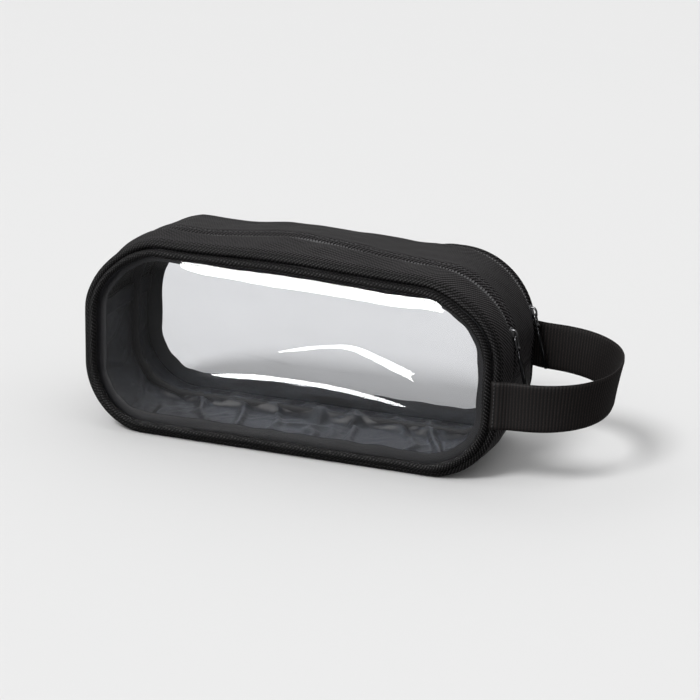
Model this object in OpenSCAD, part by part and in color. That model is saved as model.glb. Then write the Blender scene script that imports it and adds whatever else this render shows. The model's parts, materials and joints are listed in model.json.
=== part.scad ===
// Clear-sided pouch: two zipped compartments between a front and a back window,
// a fabric gusset all round, and a webbing loop at one end.
// Millimetres. The origin is the centre of the base, +X points to the webbing loop,
// -Y to the front window and +Z up.

/* [Body] */
// Length of the gusset from end to end
body_l = 230; // [210:1:260]
// Depth from the front piping to the back piping
body_d = 88; // [84:1:100]
// Height of the top at the plain end
top_left = 109.5; // [106:0.5:116]
// Height of the top at the strap end, where the soft body slumps a little
top_right = 104; // [102:0.5:112]
// Radius of the gusset's upper corners
r_top = 43; // [38:1:46]
// Radius of the gusset's lower corners
r_low = 37; // [30:1:44]
// Height of the seam that ends the zip gusset at the plain end
seam_left = 66.5; // [60:0.5:70]
// Height of the seam that ends the zip gusset at the strap end
seam_right = 50; // [40:0.5:58]

/* [Sheets] */
// Thickness of the outer fabric of the bottom gusset
fabric_t = 1.2; // [0.8:0.1:1.6]
// Thickness of the lining of the bottom gusset
lining_t = 0.6; // [0.4:0.1:0.8]
// Thickness of the faced strips beside the zips
strip_t = 1.6; // [1.4:0.1:2]
// Thickness of the clear sheet
vinyl_t = 0.6; // [0.4:0.1:0.8]
// Thickness of the binding tape inside the seams
binding_t = 1.2; // [0.8:0.1:1.6]

/* [Piping] */
// Width of the covered piping
piping_d = 4.5; // [3.5:0.1:5.5]
// Width of the cord inside the piping
cord_d = 2.8; // [2:0.1:3]
// How far the piping stands inside the gusset's outline
piping_inset = 3.5; // [3:0.1:6]

/* [Divider] */
// Depth position of the divider between the compartments
divider_y = 15; // [8:0.5:17]

/* [Zips] */
// Depth position of the front compartment's zip
zip_front_y = -14; // [-18:0.5:-10]
// Depth position of the back compartment's zip
zip_back_y = 31; // [28:0.5:31]
// Gap between the two strips beside a zip
zip_gap = 4.4; // [4.2:0.1:5]
// Gap between the two rows of a coil
coil_slot = 1.2; // [1.2:0.1:1.4]
// Width of one row of a coil
coil_w = 1.5; // [1.2:0.1:1.5]
// Width of one tape
tape_w = 11; // [8:0.5:12]
// Thickness of a tape
tape_t = 0.6; // [0.4:0.1:0.8]

/* [Sliders] */
// Place of the closed sliders on the upper corner, above the horizontal
slider_angle = 15.5; // [14:0.5:20]
// Length of a slider
slider_l = 9; // [8:0.5:10]
// Width of a slider
slider_w = 6.6; // [6:0.1:7]
// Thickness of a slider's plates
plate_t = 1; // [0.8:0.1:1.2]
// Gap between a slider and what it runs on
slider_gap = 0.4; // [0.35:0.05:0.5]
// Diameter of the link's wire
wire_d = 1; // [0.8:0.1:1]
// Length of the link between its two bars
link_l = 6.5; // [5:0.5:8]
// Length of the pull tab from the link
tab_l = 24; // [20:1:30]
// Width of the pull tab
tab_w = 4.6; // [4:0.1:6]
// Thickness of the pull tab
tab_t = 1.3; // [1:0.1:1.6]

/* [Strap] */
// Width of the webbing
web_w = 25.4; // [19:0.1:32]
// Thickness of the webbing
web_t = 1.6; // [1.2:0.1:2]
// Height of the webbing's middle line
web_z = 48.5; // [44:0.5:54]
// Furthest that the loop swings up or down, in degrees
web_swing = 50; // [30:1:55]

/* [Hidden] */
$fn = 96;

// Centres of the four corners in the front view, x then height
c_tl = [-body_l / 2 + r_top, top_left - r_top];
c_tr = [body_l / 2 - r_top, top_right - r_top];
c_bl = [-body_l / 2 + r_low, r_low];
c_br = [body_l / 2 - r_low, r_low];
// Slope of the top, and the direction of its normal
slope = atan2(c_tr.y - c_tl.y, c_tr.x - c_tl.x);
top_a = 90 + slope;
// Straight steps in each corner's arc
corner_steps = 18;
// Depth planes of the front seam, from the outside in; the back seam mirrors them
piping_y = body_d / 2;
window_y = piping_y - piping_d;
wall_y = window_y - vinyl_t;
flange_y = wall_y - fabric_t;
// Insets from the gusset's outline
piping_step = 0.7;
piping_mid = piping_inset + piping_d / 2;
window_in = piping_inset + 0.1;
flange_in = piping_inset + piping_d + 0.5;
binding_in = flange_in + 2.5;
lining_in = fabric_t + lining_t;
tape_in = strip_t + tape_t;
divider_in = tape_in + 0.1;
divider_binding_in = divider_in + 5;
divider_sheet_in = divider_in + 1.5;
divider_binding_t = 2.4;
end_binding_h = 9;
// Radii and angles of the sliders about the upper corner at the strap end
plate_r = r_top + slider_gap;
under_r = r_top - tape_in - slider_gap;
slider_half_a = slider_l / 2 / plate_r * 180 / PI;
post_half_y = coil_slot / 2 - 0.3;
post_half_l = 1.2;
bridge_h = 2.9;
bridge_half_l = 3.2;
bridge_half_y = 0.8;
bridge_hole_low = 0.3;
bridge_hole_high = 2.1;
bridge_hole_half_l = 2.1;
bar_r = plate_r + plate_t + (bridge_hole_low + bridge_hole_high) / 2;
bar_shift = -1;
link_half_y = 2;
knuckle_r = 1.3;
knuckle_bore_r = 0.8;
knuckle_half_y = 1.2;
tab_neck_l = 2.2;
stop_a = 6;
stop_left_a = 174;
stop_half_a = 1.6;
stop_t = 0.7;
// Strap: plane of its arms, and the centre of the bend at their ends
arm_y = wall_y;
strap_bend_gap = 0.3;
strap_bend_x = body_l / 2 + web_w / 2 + 2 * strap_bend_gap;
anchor_x = body_l / 2 - piping_inset + 0.1;
anchor_end_x = strap_bend_x - (web_w / 2 + strap_bend_gap) * sin(web_swing) - strap_bend_gap;
stitch_w = 0.5;
stitch_rows = 9;

function on_circle(c, r, a) = c + r * [cos(a), sin(a)];

// Points of one corner's arc, from angle a0 to a1
function corner(c, r, a0, a1) =
  [for (i = [0 : corner_steps]) on_circle(c, r, a0 + (a1 - a0) * i / corner_steps)];

// Front view outline of the body, inset by d all round
module outline(d) {
  polygon(concat(corner(c_br, r_low - d, -90, 0), corner(c_tr, r_top - d, 0, top_a),
    corner(c_tl, r_top - d, top_a, 180), corner(c_bl, r_low - d, 180, 270)));
}

// Band between two insets of the outline
module band(d0, d1) {
  difference() {
    outline(d0);
    outline(d1);
  }
}

// Region of the front view below the two end seams
module below_seams() {
  translate([-body_l, -body_l])
    square([body_l, body_l + seam_left]);
  translate([0, -body_l])
    square([body_l, body_l + seam_right]);
}

// Region of the front view above the two end seams
module above_seams() {
  translate([-body_l, seam_left])
    square([body_l, body_l]);
  translate([0, seam_right])
    square([body_l, body_l]);
}

// Front view shape made solid from depth y0 to depth y1
module slab(y0, y1) {
  rotate([90, 0, 0])
    translate([0, 0, -y1])
      linear_extrude(y1 - y0)
        children();
}

module lower_band(d0, d1) {
  intersection() {
    band(d0, d1);
    below_seams();
  }
}

module upper_band(d0, d1) {
  intersection() {
    band(d0, d1);
    above_seams();
  }
}

// Welt of width w that follows the outline, middle inset d and middle depth y, with
// its four edges stepped back by e
module welt(d, y, w, e) {
  slab(y - w / 2, y + w / 2)
    band(d - w / 2 + e, d + w / 2 - e);
  slab(y - w / 2 + e, y + w / 2 - e)
    band(d - w / 2, d + w / 2);
}

// Gusset

module bottom_gusset() {
  color([0.07, 0.07, 0.08]) {
    slab(-wall_y, wall_y)
      lower_band(0, fabric_t);
    slab(-wall_y, -flange_y)
      lower_band(0, flange_in);
    slab(flange_y, wall_y)
      lower_band(0, flange_in);
  }
}

module bottom_lining() {
  color([0.16, 0.16, 0.18])
    slab(-flange_y, flange_y)
      lower_band(fabric_t, lining_in);
}

module front_zip_strip() {
  color([0.09, 0.09, 0.1]) {
    slab(-wall_y, zip_front_y - zip_gap / 2)
      upper_band(0, strip_t);
    slab(-wall_y, -flange_y)
      upper_band(0, flange_in);
  }
}

module middle_zip_strip() {
  color([0.09, 0.09, 0.1])
    slab(zip_front_y + zip_gap / 2, zip_back_y - zip_gap / 2)
      upper_band(0, strip_t);
}

module back_zip_strip() {
  color([0.09, 0.09, 0.1]) {
    slab(zip_back_y + zip_gap / 2, wall_y)
      upper_band(0, strip_t);
    slab(flange_y, wall_y)
      upper_band(0, flange_in);
  }
}

// Binding tape over the seam between the zip gusset and the bottom gusset
module end_binding(side, seam) {
  binding_x = body_l / 2 - tape_in - binding_t;
  color([0.05, 0.05, 0.055])
    translate([side > 0 ? binding_x : -binding_x - binding_t, -flange_y + binding_t, seam - end_binding_h / 2])
      cube([binding_t, 2 * flange_y - 2 * binding_t, end_binding_h]);
}

module left_end_binding() {
  difference() {
    end_binding(-1, seam_left - end_binding_h / 2);
    divider_clearance();
  }
}

module right_end_binding() {
  difference() {
    end_binding(1, seam_right - end_binding_h / 2);
    divider_clearance();
  }
}

module divider_clearance() {
  translate([-body_l, divider_y - divider_binding_t / 2, 0])
    cube([2 * body_l, divider_binding_t, 2 * top_left]);
}

// Windows and divider

module window_sheet(y0) {
  color([0.9, 0.93, 0.95, 0.35])
    slab(y0, y0 + vinyl_t)
      outline(window_in);
}

module front_window() {
  window_sheet(-window_y);
}

module back_window() {
  window_sheet(wall_y);
}

module divider_panel() {
  color([0.85, 0.88, 0.92, 0.35])
    slab(divider_y - vinyl_t / 2, divider_y + vinyl_t / 2)
      outline(divider_sheet_in);
}

module divider_binding() {
  color([0.05, 0.05, 0.055])
    difference() {
      slab(divider_y - divider_binding_t / 2, divider_y + divider_binding_t / 2)
        band(divider_in, divider_binding_in);
      slab(divider_y - vinyl_t / 2, divider_y + vinyl_t / 2)
        outline(divider_sheet_in);
    }
}

// Piping and seam bindings

module piping(y) {
  color([0.06, 0.06, 0.07])
    difference() {
      welt(piping_mid, y, piping_d, piping_step);
      slab(y - cord_d / 2, y + cord_d / 2)
        band(piping_mid - cord_d / 2, piping_mid + cord_d / 2);
    }
}

module piping_cord(y) {
  color([0.75, 0.75, 0.72])
    slab(y - cord_d / 2, y + cord_d / 2)
      band(piping_mid - cord_d / 2, piping_mid + cord_d / 2);
}

module front_piping() {
  piping(-piping_y + piping_d / 2);
}

module back_piping() {
  piping(piping_y - piping_d / 2);
}

module front_piping_cord() {
  piping_cord(-piping_y + piping_d / 2);
}

module back_piping_cord() {
  piping_cord(piping_y - piping_d / 2);
}

module seam_binding(y0) {
  color([0.05, 0.05, 0.055])
    slab(y0, y0 + binding_t)
      band(divider_in, binding_in);
}

module front_seam_binding() {
  seam_binding(-flange_y);
}

module back_seam_binding() {
  seam_binding(flange_y - binding_t);
}

// Zips

// One tape, on the side of the zip that side names, ended short of depth limit
module zip_tape(zip_y, side) {
  y_in = zip_y + side * coil_slot / 2;
  y_out = side * min(side * zip_y + tape_w, flange_y - binding_t);
  color([0.04, 0.04, 0.045])
    slab(min(y_in, y_out), max(y_in, y_out))
      upper_band(strip_t, tape_in);
}

// One row of the coil, plain here
module zip_coil(zip_y, side) {
  y_in = zip_y + side * coil_slot / 2;
  y_out = y_in + side * coil_w;
  color([0.12, 0.12, 0.13])
    slab(min(y_in, y_out), max(y_in, y_out))
      upper_band(0.1, strip_t);
}

// Sector of a ring about the upper corner c, from radius r0 to r1
module corner_sector(c, r0, r1, a0, a1, y0, y1) {
  rotate([90, 0, 0])
    translate([c.x, c.y, -y1])
      rotate(a0)
        rotate_extrude(angle = a1 - a0)
          translate([r0, 0])
            square([r1 - r0, y1 - y0]);
}

// Crimps at both ends of a coil
module zip_stops(zip_y) {
  half_y = coil_slot / 2 + coil_w;
  color([0.3, 0.3, 0.31]) {
    corner_sector(c_tr, r_top - 0.1, r_top + stop_t, stop_a - stop_half_a,
      stop_a + stop_half_a, zip_y - half_y, zip_y + half_y);
    corner_sector(c_tl, r_top - 0.1, r_top + stop_t, stop_left_a - stop_half_a,
      stop_left_a + stop_half_a, zip_y - half_y, zip_y + half_y);
  }
}

// Frame of a closed slider: x outwards, y up along the zip, z towards the front
module at_slider(zip_y) {
  translate([0, zip_y, 0])
    rotate([90, 0, 0])
      translate([c_tr.x, c_tr.y, 0])
        rotate(slider_angle)
          children();
}

module slider(zip_y) {
  color([0.22, 0.22, 0.23]) {
    corner_sector(c_tr, plate_r, plate_r + plate_t, slider_angle - slider_half_a,
      slider_angle + slider_half_a, zip_y - slider_w / 2, zip_y + slider_w / 2);
    corner_sector(c_tr, under_r - plate_t, under_r, slider_angle - slider_half_a,
      slider_angle + slider_half_a, zip_y - slider_w / 2, zip_y + slider_w / 2);
    at_slider(zip_y)
      translate([under_r - plate_t / 2, -post_half_l, -post_half_y])
        cube([plate_r - under_r + plate_t, 2 * post_half_l, 2 * post_half_y]);
    at_slider(zip_y)
      slider_bridge();
  }
}

module slider_bridge() {
  base_r = plate_r + plate_t / 2;
  plate_top = plate_r + plate_t;
  translate([0, 0, -bridge_half_y])
    linear_extrude(2 * bridge_half_y)
      difference() {
        translate([base_r, -bridge_half_l])
          square([plate_top + bridge_h - base_r, 2 * bridge_half_l]);
        translate([plate_top + bridge_hole_low, -bridge_hole_half_l])
          square([bridge_hole_high - bridge_hole_low, 2 * bridge_hole_half_l]);
      }
}

// Frame at the link's upper bar: -y runs down the link
module at_bar(zip_y) {
  at_slider(zip_y)
    translate([bar_r, bar_shift, 0])
      children();
}

module link(zip_y) {
  color([0.25, 0.25, 0.26])
    at_bar(zip_y) {
      for (end_y = [0, -link_l])
        translate([0, end_y, -link_half_y])
          cylinder(d = wire_d, h = 2 * link_half_y);
      for (side = [-1, 1])
        translate([0, 0, side * link_half_y])
          rotate([90, 0, 0])
            cylinder(d = wire_d, h = link_l);
      for (end_y = [0, -link_l], side = [-1, 1])
        translate([0, end_y, side * link_half_y])
          sphere(d = wire_d);
    }
}

module tab(zip_y) {
  color([0.2, 0.2, 0.21])
    at_bar(zip_y)
      translate([0, -link_l, 0])
        difference() {
          union() {
            translate([0, 0, -knuckle_half_y])
              cylinder(r = knuckle_r, h = 2 * knuckle_half_y);
            tab_plate();
          }
          translate([0, 0, -tab_w])
            cylinder(r = knuckle_bore_r, h = 2 * tab_w);
        }
}

module tab_plate() {
  rotate([0, 90, 0])
    translate([0, 0, -tab_t / 2])
      linear_extrude(tab_t) {
        translate([-knuckle_half_y, -tab_neck_l - tab_w / 2])
          square([2 * knuckle_half_y, tab_neck_l + tab_w / 2]);
        translate([0, -tab_neck_l - tab_w / 2])
          circle(d = tab_w);
        translate([-tab_w / 2, -tab_l + tab_w / 2])
          square([tab_w, tab_l - tab_neck_l - tab_w]);
        translate([0, -tab_l + tab_w / 2])
          circle(d = tab_w);
      }
}

module front_zip_front_tape() {
  zip_tape(zip_front_y, -1);
}

module front_zip_back_tape() {
  zip_tape(zip_front_y, 1);
}

module front_zip_front_coil() {
  zip_coil(zip_front_y, -1);
}

module front_zip_back_coil() {
  zip_coil(zip_front_y, 1);
}

module front_zip_stops() {
  zip_stops(zip_front_y);
}

module front_zip_slider() {
  slider(zip_front_y);
}

module front_zip_link() {
  link(zip_front_y);
}

module front_zip_tab() {
  tab(zip_front_y);
}

module back_zip_front_tape() {
  zip_tape(zip_back_y, -1);
}

module back_zip_back_tape() {
  zip_tape(zip_back_y, 1);
}

module back_zip_front_coil() {
  zip_coil(zip_back_y, -1);
}

module back_zip_back_coil() {
  zip_coil(zip_back_y, 1);
}

module back_zip_stops() {
  zip_stops(zip_back_y);
}

module back_zip_slider() {
  slider(zip_back_y);
}

module back_zip_link() {
  link(zip_back_y);
}

module back_zip_tab() {
  tab(zip_back_y);
}

// Webbing loop

// Sewn end of the webbing, hollowed for the round end of the loop
module strap_anchor(y0) {
  color([0.13, 0.1, 0.1])
    slab(y0, y0 + web_t)
      difference() {
        translate([anchor_x, web_z - web_w / 2])
          square([anchor_end_x - anchor_x, web_w]);
        translate([strap_bend_x, web_z])
          circle(r = web_w / 2 + strap_bend_gap);
      }
}

module front_strap_anchor() {
  strap_anchor(-arm_y - web_t);
}

module back_strap_anchor() {
  strap_anchor(arm_y);
}

module strap_loop() {
  color([0.13, 0.1, 0.1]) {
    translate([strap_bend_x, 0, web_z - web_w / 2])
      rotate(-90)
        rotate_extrude(angle = 180)
          translate([arm_y, 0])
            square([web_t, web_w]);
    for (y0 = [-arm_y - web_t, arm_y])
      slab(y0, y0 + web_t)
        intersection() {
          translate([strap_bend_x, web_z])
            circle(d = web_w);
          translate([strap_bend_x - web_w, web_z - web_w])
            square([web_w, 2 * web_w]);
        }
  }
}

// Rows of thread that hold both ends of the webbing
module strap_stitching() {
  pitch = (web_w - 4) / (stitch_rows - 1);
  color([0.05, 0.05, 0.055])
    for (side = [-1, 1], row = [0 : stitch_rows - 1])
      translate([anchor_x + 0.4, side * (arm_y + web_t + stitch_w / 4) - stitch_w / 4,
        web_z - web_w / 2 + 2 + row * pitch - stitch_w / 2])
        cube([2.2, stitch_w / 2, stitch_w]);
}

bottom_gusset();
bottom_lining();
front_zip_strip();
middle_zip_strip();
back_zip_strip();
left_end_binding();
right_end_binding();
front_window();
back_window();
divider_panel();
divider_binding();
front_piping();
back_piping();
front_piping_cord();
back_piping_cord();
front_seam_binding();
back_seam_binding();
front_zip_front_tape();
front_zip_back_tape();
front_zip_front_coil();
front_zip_back_coil();
front_zip_stops();
front_zip_slider();
front_zip_link();
front_zip_tab();
back_zip_front_tape();
back_zip_back_tape();
back_zip_front_coil();
back_zip_back_coil();
back_zip_stops();
back_zip_slider();
back_zip_link();
back_zip_tab();
front_strap_anchor();
back_strap_anchor();
strap_loop();
strap_stitching();
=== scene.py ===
"""A clear-sided pouch as a sewn thing: padded fabric gusset, coil zips, piping, vinyl and webbing.

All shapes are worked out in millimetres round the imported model's own boxes and joints, and go
into the meshes in metres. The gusset, zips, bindings and threads share one way of placing a
point: s runs round the front-view outline from the middle of the base, anticlockwise as seen
from the front, y is the depth, and h the height above the outline.
"""
import json
import math

import bmesh
import bpy
import numpy as np
from mathutils import Matrix, Vector


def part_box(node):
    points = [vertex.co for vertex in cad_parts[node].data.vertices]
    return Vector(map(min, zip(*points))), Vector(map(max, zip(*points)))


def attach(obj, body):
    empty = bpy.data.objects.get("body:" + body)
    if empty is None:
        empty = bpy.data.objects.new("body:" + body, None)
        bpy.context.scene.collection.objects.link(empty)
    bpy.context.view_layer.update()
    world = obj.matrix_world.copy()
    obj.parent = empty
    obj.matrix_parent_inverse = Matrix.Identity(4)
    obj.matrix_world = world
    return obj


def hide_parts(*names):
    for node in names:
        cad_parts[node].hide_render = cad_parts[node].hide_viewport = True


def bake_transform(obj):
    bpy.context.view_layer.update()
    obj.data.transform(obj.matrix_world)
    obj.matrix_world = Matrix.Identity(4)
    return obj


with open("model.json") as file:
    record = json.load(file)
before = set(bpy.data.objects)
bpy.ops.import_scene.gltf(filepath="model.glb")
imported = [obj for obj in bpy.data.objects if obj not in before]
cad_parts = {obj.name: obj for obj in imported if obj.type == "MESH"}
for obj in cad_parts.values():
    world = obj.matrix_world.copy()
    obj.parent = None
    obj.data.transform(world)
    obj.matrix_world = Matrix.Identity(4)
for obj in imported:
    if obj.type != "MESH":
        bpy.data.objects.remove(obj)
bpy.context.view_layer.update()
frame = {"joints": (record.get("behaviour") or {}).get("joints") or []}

M = 1000.0
JOINTS = {j["name"]: j for j in frame["joints"]}

# ---------------------------------------------------------------- sizes, in millimetres


def box_mm(node):
    """Lowest and highest corner of a CAD node, in millimetres."""
    low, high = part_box(node)
    return np.array(low) * M, np.array(high) * M


def joint_mm(name):
    """Place of a joint, in millimetres."""
    return np.array(JOINTS[name]["pos_m"]) * M


GUSSET_LOW, GUSSET_HIGH = box_mm("bottom_gusset")
STRIP_LOW, STRIP_HIGH = box_mm("middle_zip_strip")
HALF_L = GUSSET_HIGH[0]
WALL_Y = GUSSET_HIGH[1]
TOP_LEFT_Z = STRIP_HIGH[2]
SEAM_RIGHT_Z = STRIP_LOW[2]
SEAM_LEFT_Z = GUSSET_HIGH[2]
ZIP_Y = {k: joint_mm(k + "_zip_run")[1] for k in ("front", "back")}
CORNER_TR = joint_mm("front_zip_run")[[0, 2]]
R_TOP = HALF_L - CORNER_TR[0]
R_LOW = 37.0
PIPING_LOW, PIPING_HIGH = box_mm("front_piping")
PIPING_R = (PIPING_HIGH[1] - PIPING_LOW[1]) / 2
PIPING_Y = -(PIPING_HIGH[1] + PIPING_LOW[1]) / 2
PIPING_INSET = HALF_L - PIPING_HIGH[0] + PIPING_R
WINDOW_Y = -box_mm("front_window")[1][1]
DIVIDER_Y = float(np.mean([b[1] for b in box_mm("divider_panel")]))
WEB_LOW, WEB_HIGH = box_mm("strap_loop")
WEB_W = WEB_HIGH[2] - WEB_LOW[2]
WEB_T = 1.5
WEB_Z = (WEB_HIGH[2] + WEB_LOW[2]) / 2
WEB_REACH = WEB_HIGH[0]
FABRIC_T = 1.1
LINING_H = -2.4
ZIP_HALF_GAP = 2.0
COIL_H = -0.45

# ---------------------------------------------------------------- the outline


def smooth(t):
    """Rises from 0 to 1 as t does, level at both ends: 3 t squared less 2 t cubed."""
    t = np.clip(t, 0.0, 1.0)
    return t * t * (3.0 - 2.0 * t)


def bell(t):
    """A bell of height 1 about t = 0: e to the minus t squared."""
    return np.exp(-np.square(t))


class Outline:
    """The front-view outline: four corner arcs about fixed centres, joined by straight sides.
    at(s) gives the point and the outward normal at each distance s round it."""

    def __init__(self, steps=90):
        c_tr = CORNER_TR
        c_tl = np.array([-c_tr[0], TOP_LEFT_Z - R_TOP])
        c_br = np.array([HALF_L - R_LOW, R_LOW])
        c_bl = c_br * [-1, 1]
        rise = c_tr - c_tl
        top = 90.0 + math.degrees(math.atan2(rise[1], rise[0]))
        points, normals = [np.array([[0.0, 0.0]])], [np.array([[0.0, -1.0]])]
        for centre, radius, a0, a1 in (
            (c_br, R_LOW, -90, 0), (c_tr, R_TOP, 0, top), (c_tl, R_TOP, top, 180), (c_bl, R_LOW, 180, 270)
        ):
            a = np.radians(np.linspace(a0, a1, steps))
            n = np.stack([np.cos(a), np.sin(a)], 1)
            points.append(centre + radius * n)
            normals.append(n)
        points.append(points[0])
        normals.append(normals[0])
        self.p, self.n = np.vstack(points), np.vstack(normals)
        self.s = np.concatenate([[0], np.cumsum(np.linalg.norm(np.diff(self.p, axis=0), axis=1))])
        self.length = self.s[-1]

    def at(self, s):
        s = np.mod(s, self.length)
        p = np.stack([np.interp(s, self.s, self.p[:, k]) for k in (0, 1)], -1)
        n = np.stack([np.interp(s, self.s, self.n[:, k]) for k in (0, 1)], -1)
        return p, n / np.linalg.norm(n, axis=-1, keepdims=True)

    def find(self, x_sign, z):
        """Distance s at which the side on x_sign's side reaches height z."""
        on_side = np.sign(self.p[:, 0]) == x_sign
        gap = np.where(on_side & (abs(self.p[:, 0]) > CORNER_TR[0]), abs(self.p[:, 1] - z), 1e9)
        near = int(gap.argmin())
        next_one = near + (1 if z > self.p[near, 1] else -1) * int(x_sign)
        share = (z - self.p[near, 1]) / (self.p[next_one, 1] - self.p[near, 1])
        return self.s[near] + share * (self.s[next_one] - self.s[near])


LINE = Outline()
S_RIGHT = LINE.find(1, SEAM_RIGHT_Z)
S_LEFT = LINE.find(-1, SEAM_LEFT_Z)


class Ripple:
    """Soft random unevenness: a sum of sines of chance directions and phases, about -1 to 1."""

    def __init__(self, seed, shortest, longest, count=9):
        rng = np.random.default_rng(seed)
        length = rng.uniform(shortest, longest, count)
        turn = rng.uniform(0, math.pi, count)
        self.k = 2 * math.pi / length * np.stack([np.cos(turn), np.sin(turn)])
        self.phase = rng.uniform(0, 2 * math.pi, count)

    def __call__(self, a, b):
        a, b = np.broadcast_arrays(a, b)
        waves = np.sin(a[..., None] * self.k[0] + b[..., None] * self.k[1] + self.phase)
        return waves.sum(-1) / math.sqrt(len(self.phase)) * 0.8


SOFT_WAVES = Ripple(3, 26, 70)
SMALL_WAVES = Ripple(8, 9, 20)
LINING_WAVES = Ripple(21, 18, 46)


def zip_line(which, s):
    """Depth of a zip at each s: its CAD depth, with slow waves that die out before the slider."""
    x = LINE.at(s)[0][..., 0]
    free = smooth((62.0 - x) / 22.0) * smooth((s - S_RIGHT - 60.0) / 30.0)
    if which == "front":
        drift = 3.2 * bell((x + 4.0) / 34.0) - 2.6 * bell((x + 62.0) / 26.0) - 1.0 * bell((x - 42.0) / 16.0)
    else:
        drift = 0.9 * np.sin(x / 21.0 + 0.6) - 0.8 * bell((x + 40.0) / 30.0)
    return ZIP_Y[which] + drift * free


def on_top(s):
    """1 along the zip gusset and 0 along the bottom gusset."""
    s = np.mod(s, LINE.length)
    return ((s >= S_RIGHT - 1e-6) & (s <= S_LEFT + 1e-6)).astype(float)


def skin(s, y):
    """Height of the outer fabric: a stitched groove beside each seam roll, a padded swell between,
    a fold down to each zip, and soft unevenness that fades at seams and zips."""
    edge = WALL_Y - abs(y)
    swell = 0.3 + 1.5 * smooth((edge - 3.6) / 13.0)
    groove = 1.0 * bell((edge - 3.4) / 1.15)
    inner = smooth((edge - 4.0) / 8.0)
    waves = (0.75 - 0.3 * on_top(s)) * SOFT_WAVES(s, y) + 0.18 * SMALL_WAVES(s, y)
    height = swell - groove + inner * waves
    top = on_top(s)
    for which in ("front", "back"):
        away = np.clip(abs(y - zip_line(which, s)) - ZIP_HALF_GAP, 0, None)
        fold = top * np.exp(-away / 1.3)
        puff = 0.45 * bell((away - 5.2) / 2.8) - 0.3 * bell((away - 2.6) / 0.7)
        height = height * (1 - fold) - 0.35 * fold + top * puff * inner
    return height - 0.85 * bell((s_near(s) / 1.3))


def s_near(s):
    """Distance along the outline from the nearer of the two end seams."""
    s = np.mod(s, LINE.length)
    return np.minimum(abs(s - S_RIGHT), abs(s - S_LEFT))


CROWN = 3.3  # rise of the top's middle, in front
BACK_DROP = 4.2  # fall of the top towards the back seam
STRAP_END_KEPT = 4.0  # how much of that fall the strap end is spared, so that its zip runs true
LEFT_SLUMP_FRONT, LEFT_SLUMP_BACK = 3.8, 3.9
RIGHT_SLUMP = 2.1
DRAWN_IN = 1.7  # how far the plain end stands in from the outline
FLOOR_GAP = 0.6  # height from which points are eased up off the floor


def settle(p):
    """Moves points of the sewn body to how it sits, along lines out from its middle: the top swells
    in front and slopes off at the back, its corners slump, and nothing goes below the surface
    that it rests on."""
    x, y, z = p[..., 0], p[..., 1], p[..., 2]
    run_x = x - np.clip(x, -CORNER_TR[0], CORNER_TR[0])
    run_z = z - CORNER_TR[1]
    reach = np.hypot(run_x, run_z) + 1e-6
    turn = np.degrees(np.arctan2(run_x, run_z))
    top = smooth((92.0 - abs(turn)) / 30.0)
    crown = CROWN * bell((x - 4.0) / 37.0) * bell((y + 9.0) / 25.0)
    right = smooth((x - 62.0) / 34.0)
    back = (BACK_DROP - STRAP_END_KEPT * right) * smooth((y - 29.0 - 6.0 * smooth((x - 52.0) / 18.0)) / 13.0)
    back = back + 1.8 * smooth((-8.0 - x) / 40.0) * smooth((y - 4.0) / 28.0)
    behind = smooth((y + 30.0) / 40.0)
    slump_front = LEFT_SLUMP_FRONT * bell((turn + 32.0) / 34.0) * (1.0 - behind)
    slump_left = (slump_front + LEFT_SLUMP_BACK * bell((turn + 26.0) / 30.0) * behind) * smooth(-x / 70.0)
    slump_right = RIGHT_SLUMP * bell((turn - 32.0) / 22.0) * smooth((-8.0 - y) / 34.0)
    out = (crown - back - slump_left - slump_right) * top * smooth((reach - 24.0) / 18.0)
    drawn_in = DRAWN_IN * smooth((-75.0 - x) / 40.0) * (1.0 - 0.7 * behind)
    moved = np.stack([x + out * run_x / reach + drawn_in, y, z + out * run_z / reach], -1)
    low = moved[..., 2]
    moved[..., 2] = np.where(low < FLOOR_GAP, FLOOR_GAP * np.exp((low - FLOOR_GAP) / 2.4), low)
    return moved


def place(s, y, h):
    """Points of the sewn body at distance s, depth y and height h."""
    s, y, h = np.broadcast_arrays(s, y, h)
    p, n = LINE.at(s)
    flat = p + n * h[..., None]
    return settle(np.stack([flat[..., 0], y, flat[..., 1]], -1))


# ---------------------------------------------------------------- meshes


def linked(name, data):
    """A new object for some data, in the scene."""
    obj = bpy.data.objects.new(name, data)
    bpy.context.scene.collection.objects.link(obj)
    return obj


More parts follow.
